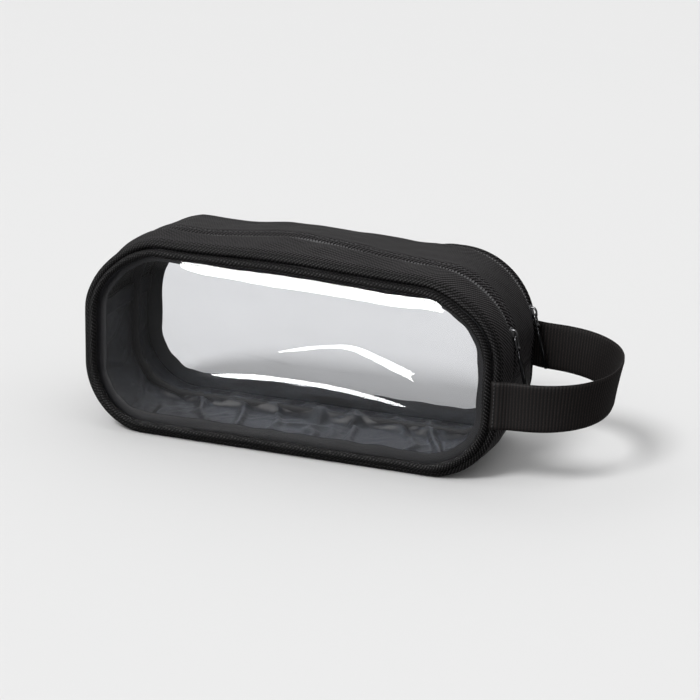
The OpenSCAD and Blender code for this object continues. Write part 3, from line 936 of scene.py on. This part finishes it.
def wire(name, path, radius, sides, closed=False):
    """A round wire along a path: a ring of points about each path point, square to its run."""
    if closed:
        run = np.roll(path, -1, 0) - np.roll(path, 1, 0)
    else:
        run = np.gradient(path, axis=0)
    run /= np.linalg.norm(run, axis=1, keepdims=True)
    side = np.cross(run, [0.0, 1.0, 0.0])
    weak = np.linalg.norm(side, axis=1) < 0.2
    side[weak] = np.cross(run[weak], [1.0, 0.0, 0.0])
    side /= np.linalg.norm(side, axis=1, keepdims=True)
    over = np.cross(run, side)
    a = np.linspace(0, TAU, sides, endpoint=False)
    p = path[:, None] + radius * (np.cos(a)[:, None] * side[:, None] + np.sin(a)[:, None] * over[:, None])
    return grid_mesh(name, p, wrap_u=closed, wrap_v=True)


def make_zips():
    """Tapes and coils of both zips."""
    s0, s1 = S_RIGHT + 3.0, S_LEFT - 2.0
    s = np.linspace(s0 - 4.5, s1 + 3.5, 400)
    for which in ("front", "back"):
        for side, word in ((-1, "front"), (1, "back")):
            y = zip_line(which, s) + side * 3.1
            obj = ribbon(f"{which}_tape_{word}", s, y, COIL_H - 0.95, 5.8, 0.5)
            finish_piece(obj, "bag", "zip_tape", ZIP_TAPE, f"{which}_zip_{word}_tape")
            obj = coil_row(f"{which}_coil_{word}", which, side, s0, s1)
            finish_piece(obj, "bag", "zip_coil", COIL, f"{which}_zip_{word}_coil")


def make_stops():
    """A clamped metal stop over the coil at each end of both zips: a short rounded tube."""
    for which in ("front", "back"):
        for end, at in (("low", S_RIGHT + 4.4), ("far", S_LEFT - 3.4)):
            t = np.linspace(-1, 1, 15)
            s = at + 1.3 * t
            girth = np.maximum(1 - t ** 6, 0.0) ** 0.5 + 0.002
            name, y = f"{which}_stop_{end}", zip_line(which, s)
            obj = ring_tube(name, s, y, COIL_H, 2.25 * girth, 0.95 * girth, 20, wrap=False)
            weld(obj, 2e-5)
            finish_piece(obj, "bag", "slider_metal", METAL, *([which + "_zip_stops"] if end == "low" else []))


# ---------------------------------------------------------------- sliders, links and tabs


def slider_frame(which):
    """Middle of a closed slider on the outline, and its outward, upward and forward directions."""
    low, high = box_mm(which + "_zip_slider")
    bar = joint_mm(which + "_link_swing")
    out = np.array([bar[0] - CORNER_TR[0], 0.0, bar[2] - CORNER_TR[1]])
    reach = np.linalg.norm(out)
    turn = math.asin(1.0 / reach)
    out = out / reach
    c, s = math.cos(turn), math.sin(turn)
    out = np.array([c * out[0] - s * out[2], 0.0, s * out[0] + c * out[2]])
    up = np.array([-out[2], 0.0, out[0]])
    corner = np.array([CORNER_TR[0], (low[1] + high[1]) / 2, CORNER_TR[1]])
    return corner, out, up, np.array([0.0, -1.0, 0.0])


def to_slider(which, local):
    """Local points (outward from the corner's centre, up along the zip, forward) as row points."""
    corner, out, up, fore = slider_frame(which)
    return corner + local[..., :1] * out + local[..., 1:2] * up + local[..., 2:3] * fore


def plate(name, outline, low, high, bevel):
    """A plate: an outline in the up and forward directions, from outward low to high, bevelled."""
    bm = bmesh.new()
    base = [bm.verts.new((low, u, f)) for u, f in outline]
    face = bm.faces.new(base)
    made = bmesh.ops.extrude_face_region(bm, geom=[face])
    for v in made["geom"]:
        if isinstance(v, bmesh.types.BMVert):
            v.co.x = high
    bmesh.ops.recalc_face_normals(bm, faces=bm.faces)
    rims = [e for e in bm.edges if abs(e.verts[0].co.x - e.verts[1].co.x) < 1e-6]
    bmesh.ops.bevel(bm, geom=rims, offset=bevel, segments=3, affect="EDGES", profile=0.6)
    mesh = bpy.data.meshes.new(name)
    bm.to_mesh(mesh)
    bm.free()
    return mesh


def shape_points(half_l, half_w, waist, count=10):
    """A slider's outline: round at the head, narrowing to the tail."""
    a = np.linspace(0, math.pi, count)
    head = [(half_l - half_w * 0.55 + half_w * 0.55 * math.sin(t), half_w * math.cos(t)) for t in a]
    tail = [(-half_l + 1.2, -waist), (-half_l, -waist * 0.72), (-half_l, waist * 0.72), (-half_l + 1.2, waist)]
    return head + tail


def merge_meshes(name, meshes):
    """One object from several meshes in slider coordinates."""
    bm = bmesh.new()
    for mesh in meshes:
        bm.from_mesh(mesh)
        bpy.data.meshes.remove(mesh)
    bmesh.ops.recalc_face_normals(bm, faces=bm.faces)
    out = bpy.data.meshes.new(name)
    bm.to_mesh(out)
    bm.free()
    return linked(name, out)


def set_points(obj, to_place):
    """Moves a mesh from its own coordinates in millimetres to where to_place puts them, in metres."""
    co = np.empty(len(obj.data.vertices) * 3, np.float32)
    obj.data.vertices.foreach_get("co", co)
    p = to_place(co.reshape(-1, 3).astype(float)) / M
    obj.data.vertices.foreach_set("co", p.astype(np.float32).ravel())
    obj.data.polygons.foreach_set("use_smooth", np.ones(len(obj.data.polygons), bool))
    obj.data.update()
    return obj


PLATE_LOW = R_TOP + 0.4
PLATE_HIGH = PLATE_LOW + 1.0
UNDER_HIGH = R_TOP - 2.6


def arch_mesh(name):
    """The slider's bridge: a flat bar bent into a low arch over the plate."""
    t = np.linspace(0, math.pi, 15)
    up = 3.0 * np.cos(t)
    out = PLATE_HIGH - 0.3 + 2.55 * np.sin(t) ** 0.55
    run = np.gradient(np.stack([out, up], 1), axis=0)
    run /= np.linalg.norm(run, axis=1, keepdims=True)
    normal = np.stack([run[:, 1], -run[:, 0]], 1)
    ring = [(0.38, 0.7), (0.3, 0.82), (-0.3, 0.82), (-0.38, 0.7)]
    ring += [(-a, -f) for a, f in ring]
    p = np.array([[[out[i] + normal[i, 0] * a, up[i] + normal[i, 1] * a, f] for a, f in ring] for i in range(len(t))])
    obj = grid_mesh(name, p * M, wrap_v=True)
    mesh = obj.data.copy()
    bpy.data.objects.remove(obj)
    return mesh


def make_slider(which):
    """A slider: top and under plates with a tapered outline, a raised crown, a post between the plates and a bridge.
    """
    top = plate("top", shape_points(4.5, 3.3, 2.5), PLATE_LOW, PLATE_HIGH, 0.32)
    crown = plate("crown", shape_points(2.9, 2.2, 1.5), PLATE_HIGH - 0.1, PLATE_HIGH + 0.35, 0.25)
    under = plate("under", shape_points(4.5, 3.3, 2.5), UNDER_HIGH - 1.0, UNDER_HIGH, 0.3)
    square = [(-1.1, -0.28), (1.1, -0.28), (1.1, 0.28), (-1.1, 0.28)]
    post = plate("post", square, UNDER_HIGH - 0.5, PLATE_LOW + 0.5, 0.05)
    obj = merge_meshes(which + "_slider_body", [top, crown, under, post, arch_mesh("arch")])
    set_points(obj, lambda local: to_slider(which, local))
    finish_piece(obj, which + "_slider", "slider_metal", METAL, which + "_zip_slider")


FORE = np.array([0.0, -1.0, 0.0])
LINK_HALF_W, LINK_CORNER_R, LINK_WIRE_R = 2.0, 1.1, 0.52


def link_line(which):
    """Both joints of a link, the direction from its bar to its knuckle and the distance."""
    bar, knuckle = joint_mm(which + "_link_swing"), joint_mm(which + "_tab_swing")
    length = np.linalg.norm(knuckle - bar)
    return bar, knuckle, (knuckle - bar) / length, length


def make_link(which):
    """The wire link: a closed loop with round corners from the bridge to the tab's knuckle."""
    bar, _, down, length = link_line(which)
    loop = link_loop(length, LINK_HALF_W, LINK_CORNER_R)
    path = bar + loop[:, :1] * down + loop[:, 1:] * FORE
    obj = wire(which + "_link_wire", path, LINK_WIRE_R, 10, closed=True)
    finish_piece(obj, which + "_link", "slider_metal", METAL, which + "_zip_link")


def link_loop(length, half_w, r):
    """A rounded rectangle, closed: down the link and across it."""
    pts = []
    far, side = length - r, half_w - r
    for cd, cf, start in ((r, -side, 180), (far, -side, 270), (far, side, 0), (r, side, 90)):
        for a in np.radians(np.linspace(start, start + 90, 7)):
            pts.append((cd + r * math.cos(a), cf + r * math.sin(a)))
    return np.array(pts)


def make_tab(which):
    """The pull tab: a rounded metal bar with a raised inner face, on a knuckle round the link."""
    _, knuckle, down, _ = link_line(which)
    out = np.cross(FORE, down)
    length, half_w = 24.0, 2.3
    a = np.linspace(-90, 90, 11)
    end = [(length - half_w + half_w * math.cos(math.radians(t)), half_w * math.sin(math.radians(t))) for t in a]
    neck = [(5.2, half_w * 0.96), (3.4, 1.7), (2.2, 1.25), (0.0, 1.2)]
    neck += [(d, -f) for d, f in neck[::-1]]
    mesh = plate("tab", end + neck, -0.62, 0.62, 0.3)
    inner = [(length - 2.3 + 1.35 * math.cos(math.radians(t)), 1.35 * math.sin(math.radians(t))) for t in a]
    inner += [(6.4, 1.35), (6.4, -1.35)]
    ridge = plate("ridge", inner, -0.78, 0.78, 0.16)
    t = np.linspace(0, TAU, 16, endpoint=False)
    tube = []
    for f, r in ((-1.2, 0.78), (-1.2, 1.2), (-1.1, 1.3), (1.1, 1.3), (1.2, 1.2), (1.2, 0.78)):
        tube.append(np.stack([r * np.sin(t), r * np.cos(t), np.full_like(t, f)], 1))
    knuckle_obj = grid_mesh("knuckle", np.array(tube) * M, wrap_u=True, wrap_v=True)
    knuckle_mesh = knuckle_obj.data.copy()
    bpy.data.objects.remove(knuckle_obj)
    obj = merge_meshes(which + "_pull_tab", [mesh, ridge, knuckle_mesh])
    set_points(obj, lambda local: knuckle + local[:, :1] * out + local[:, 1:2] * down + local[:, 2:] * FORE)
    finish_piece(obj, which + "_tab", "slider_metal", TAB_METAL, which + "_zip_tab")


# ---------------------------------------------------------------- webbing loop


def web_path(count=260):
    """Centre line of the webbing: out of the front seam, over the roll, along an arm, round a
    flattened half circle and back to the back seam, evenly spaced."""
    arm = WALL_Y + 1.0
    bend_x = joint_mm("strap_swing")[0]
    x_arm = np.linspace(HALF_L - 5.5, bend_x, 60)
    bow = 1.9 * bell((x_arm - HALF_L + 0.5) / 4.2)
    front = np.stack([x_arm, -(arm + bow)], 1)
    t = np.radians(np.linspace(-90, 90, 161)[1:-1])
    n = 2.15
    loop = np.stack([
        bend_x + (WEB_REACH - 1.0 - WEB_T / 2 - bend_x) * np.abs(np.cos(t)) ** (2 / n),
        arm * np.sign(np.sin(t)) * np.abs(np.sin(t)) ** (2 / n),
    ], 1)
    line = np.vstack([front, loop, front[::-1] * [1, -1]])
    run = np.concatenate([[0], np.cumsum(np.linalg.norm(np.diff(line, axis=0), axis=1))])
    even = np.linspace(0, run[-1], count)
    return np.stack([np.interp(even, run, line[:, k]) for k in (0, 1)], 1), even


def web_points(along, across, lift):
    """Points on the webbing: distance along it, height across it from its middle, and lift out of
    its outer face. Its front end is sewn lower than its back end, and it leans at its far end."""
    line, run = WEB_LINE
    along, across, lift = np.broadcast_arrays(along, across, lift)
    p = np.stack([np.interp(along, run, line[:, k]) for k in (0, 1)], -1)
    d = np.gradient(line, axis=0)
    d = np.stack([np.interp(along, run, d[:, k]) for k in (0, 1)], -1)
    d /= np.linalg.norm(d, axis=-1, keepdims=True)
    middle = WEB_Z - 4.6 + 9.2 * smooth(along / run[-1])
    off = lift + 0.35 * (across / WEB_W * 2) ** 2 + 0.15 * np.sin(math.pi * along / run[-1]) * across
    return np.stack([p[..., 0] + d[..., 1] * off, p[..., 1] - d[..., 0] * off, middle + across], -1)


WEB_LINE = web_path()


def make_strap():
    """The webbing: a flat band with firm rounded edges along its path."""
    run = WEB_LINE[1]
    half_w, half_t = WEB_W / 2, WEB_T / 2
    across = np.concatenate([np.linspace(-1, 1, 17), np.linspace(1, -1, 17)]) * (half_w - 0.25)
    thick = np.concatenate([np.full(17, half_t), np.full(17, -half_t)])
    thick[[0, 16, 17, 33]] *= 0.45
    across[[0, 16, 17, 33]] *= 1.015
    p = web_points(run[:, None], across[None], thick[None])
    around = np.concatenate([across[:17], 2 * half_w + 1 - across[17:], across[:1] + 4 * half_w + 2])
    obj = grid_mesh("webbing_loop", p, lattice_uv(run[:, None], around[None]), wrap_v=True, flip=True)
    obj.data.materials.append(WEBBING)
    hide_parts("strap_loop", "front_strap_anchor", "back_strap_anchor")
    bend = joint_mm("strap_swing") / M
    start = (HALF_L / M + 0.0035, 0.0, bend[2])
    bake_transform(obj)
    return obj


def make_strap_stitches():
    """Two rows of stitches across each sewn end of the webbing."""
    total = WEB_LINE[1][-1]
    z = np.arange(-WEB_W / 2 + 1.2, WEB_W / 2 - 1.2, 2.0)
    places = (1.6, 4.2, total - 4.2, total - 1.6)
    rows = [web_points(a + 0 * z, z + dz, WEB_T / 2 + 0.05) for a in places for dz in (0.0, 1.5)]
    starts, ends = np.vstack(rows[0::2]), np.vstack(rows[1::2])
    lift = np.stack([0 * starts[:, 0], np.sign(starts[:, 1]), 0 * starts[:, 0]], 1) * 0.16
    obj = stitch_rows("webbing_stitches", starts, ends, lift, 0.2)
    finish_piece(obj, "bag", "thread", THREAD, "strap_stitching")


# ---------------------------------------------------------------- threads


def stitch_rows(name, starts, ends, lift, radius=0.17):
    """Many stitches as one mesh: each a small six-sided spindle from its start to its end, bowed
    up by lift along the surface normal given."""
    sides, rings = 6, 5
    t = np.linspace(0, 1, rings)
    girth = np.array([0.35, 0.9, 1.0, 0.9, 0.35]) * radius
    run = ends - starts
    length = np.linalg.norm(run, axis=1, keepdims=True)
    run = run / length
    over = lift / np.linalg.norm(lift, axis=1, keepdims=True)
    side = np.cross(run, over)
    a = np.linspace(0, TAU, sides, endpoint=False)
    centre = starts[:, None] + (ends - starts)[:, None] * t[:, None] + lift[:, None] * np.sin(math.pi * t)[:, None]
    cos, sin = (f(a)[None, None, :, None] for f in (np.cos, np.sin))
    ring = girth[None, :, None, None] * (cos * side[:, None, None] + sin * over[:, None, None])
    p = centre[:, :, None] + ring
    count = len(starts)
    at = np.arange(count * rings * sides).reshape(count, rings, sides)
    nxt = np.roll(at, -1, 2)
    quads = np.stack([at[:, :-1], at[:, 1:], nxt[:, 1:], nxt[:, :-1]], -1).reshape(-1, 4)
    caps = np.concatenate([at[:, 0], at[:, -1, ::-1]])
    mesh = bpy.data.meshes.new(name)
    mesh.from_pydata((p.reshape(-1, 3) / M).tolist(), [], quads.tolist() + caps.tolist())
    mesh.polygons.foreach_set("use_smooth", np.ones(len(mesh.polygons), bool))
    return linked(name, mesh)


def body_stitches(name, s0, s1, depth, pitch, radius=0.17, sink=0.02):
    """A row of stitches on the outer fabric at depth(s)."""
    count = int((s1 - s0) / pitch)
    s = s0 + np.arange(count) * pitch
    e = s + pitch * 0.78
    y0, y1 = depth(s), depth(e)
    h0, h1 = skin(s, y0), skin(e, y1)
    p0, p1 = place(s, y0, h0 + sink), place(e, y1, h1 + sink)
    n = LINE.at((s + e) / 2)[1]
    lift = np.stack([n[:, 0], 0 * s, n[:, 1]], 1) * 0.12
    return stitch_rows(name, p0, p1, lift, radius)


def make_threads():
    """Topstitching beside both seam rolls and both zips, and across both end seams."""
    for side, word in ((-1, "front"), (1, "back")):
        obj = body_stitches("groove_stitches_" + word, 0.0, LINE.length, lambda s: 0 * s + side * (WALL_Y - 3.4), 3.0)
        finish_piece(obj, "bag", "thread", THREAD)
    for which, side, word in (("front", -1, "near"), ("front", 1, "far"), ("back", -1, "near")):
        obj = body_stitches(
            f"{which}_zip_stitches_{word}", S_RIGHT + 4, S_LEFT - 4,
            lambda s: zip_line(which, s) + side * 4.6, 2.8,
        )
        finish_piece(obj, "bag", "thread", THREAD)
    for at, word in ((S_RIGHT - 2.4, "right"), (S_LEFT + 2.4, "left")):
        y = np.arange(-WALL_Y + 4.5, WALL_Y - 4.5, 3.0)
        p0, p1 = (place(at + 0 * q, q, skin(at + 0 * q, q) + 0.02) for q in (y, y + 2.3))
        n = LINE.at(at + 0 * y)[1]
        lift = np.stack([n[:, 0], 0 * y, n[:, 1]], 1) * 0.14
        finish_piece(stitch_rows("end_stitches_" + word, p0, p1, lift), "bag", "thread", THREAD)


make_gusset()
make_piping()
make_windows()
make_lining()
make_zips()
for zip_name in ("front", "back"):
    make_slider(zip_name)
    make_link(zip_name)
    make_tab(zip_name)
make_stops()
make_strap()
make_strap_stitches()
make_threads()

# ---------------------------------------------------------------- floor, light and camera


WORLD_LOW = 0.16
WORLD_HIGH = 0.965
SUN_POWER = 1.9


def make_floor():
    """A wide pale floor."""
    p = np.array([[[-9000, -9000, 0], [-9000, 9000, 0]], [[9000, -9000, 0], [9000, 9000, 0]]], float)
    floor = grid_mesh("floor", p)
    m = Material("floor_paper")
    base = m.principled(Base_Color=(0.725, 0.725, 0.725, 1.0), Roughness=0.9, Specular_IOR_Level=0.1)
    floor.data.materials.append(m.surface(base))
    floor.visible_glossy = False


def mirrored_panel(name, place_at, aim, size, power):
    """A rectangular lamp at place_at, facing aim, both in metres, that only shiny surfaces mirror."""
    data = bpy.data.lights.new(name, "AREA")
    data.shape = "RECTANGLE"
    data.size, data.size_y = size
    data.energy = power
    lamp = linked(name, data)
    lamp.location = place_at
    lamp.rotation_euler = (Vector(aim) - Vector(place_at)).to_track_quat("-Z", "Y").to_euler()
    lamp.visible_diffuse = False


def make_light():
    """Even studio light: a surround that is brighter overhead, a wide soft sun from the left, and
    two panels that only shiny surfaces mirror."""
    world = bpy.data.worlds.new("studio")
    bpy.context.scene.world = world
    world.use_nodes = True
    tree = world.node_tree
    where = tree.nodes.new("ShaderNodeTexCoord")
    split = tree.nodes.new("ShaderNodeSeparateXYZ")
    tree.links.new(where.outputs["Generated"], split.inputs[0])
    level = tree.nodes.new("ShaderNodeMapRange")
    tree.links.new(split.outputs["Z"], level.inputs["Value"])
    for key, value in (("From Min", -0.05), ("From Max", 1.0), ("To Min", WORLD_LOW), ("To Max", WORLD_HIGH)):
        level.inputs[key].default_value = value
    tree.links.new(level.outputs["Result"], tree.nodes["Background"].inputs["Strength"])
    tree.nodes["Background"].inputs["Color"].default_value = (1.0, 1.0, 1.0, 1.0)
    sun = bpy.data.lights.new("soft_sun", "SUN")
    sun.angle = math.radians(18.0)
    sun.energy = SUN_POWER
    lamp = linked("soft_sun", sun)
    lamp.rotation_euler = Vector((0.30, 0.85, -1.0)).to_track_quat("-Z", "Y").to_euler()
    mirrored_panel("front_panel", (-0.46, -1.28, 0.84), (0.0, 0.0, 0.05), (1.9, 0.72), 112.0)
    mirrored_panel("back_panel", (-0.35, 1.15, 0.95), (0.0, 0.0, 0.08), (1.6, 0.7), 4.0)
    bpy.context.scene.view_settings.view_transform = "Standard"
    bpy.context.scene.view_settings.look = "None"


def make_camera():
    """The camera: in front, to the right and above, slightly rolled, on a long lens."""
    data = bpy.data.cameras.new("camera")
    data.lens = 88.75
    data.sensor_width = 36.0
    data.clip_end = 60.0
    camera = linked("camera", data)
    azimuth, elevation, roll = (math.radians(v) for v in (17.87, 17.57, 1.96))
    target, distance = Vector((0.0236, 0.0, 0.0492)), 0.9235
    level = math.cos(elevation)
    back = Vector((math.sin(azimuth) * level, -math.cos(azimuth) * level, math.sin(elevation)))
    right = Vector((math.cos(azimuth), math.sin(azimuth), 0.0))
    up = back.cross(right)
    x_axis = right * math.cos(roll) + up * math.sin(roll)
    y_axis = up * math.cos(roll) - right * math.sin(roll)
    turn = Matrix((x_axis, y_axis, back)).transposed()
    camera.matrix_world = Matrix.Translation(target + back * distance) @ turn.to_4x4()
    bpy.context.scene.camera = camera


make_floor()
make_light()
make_camera()
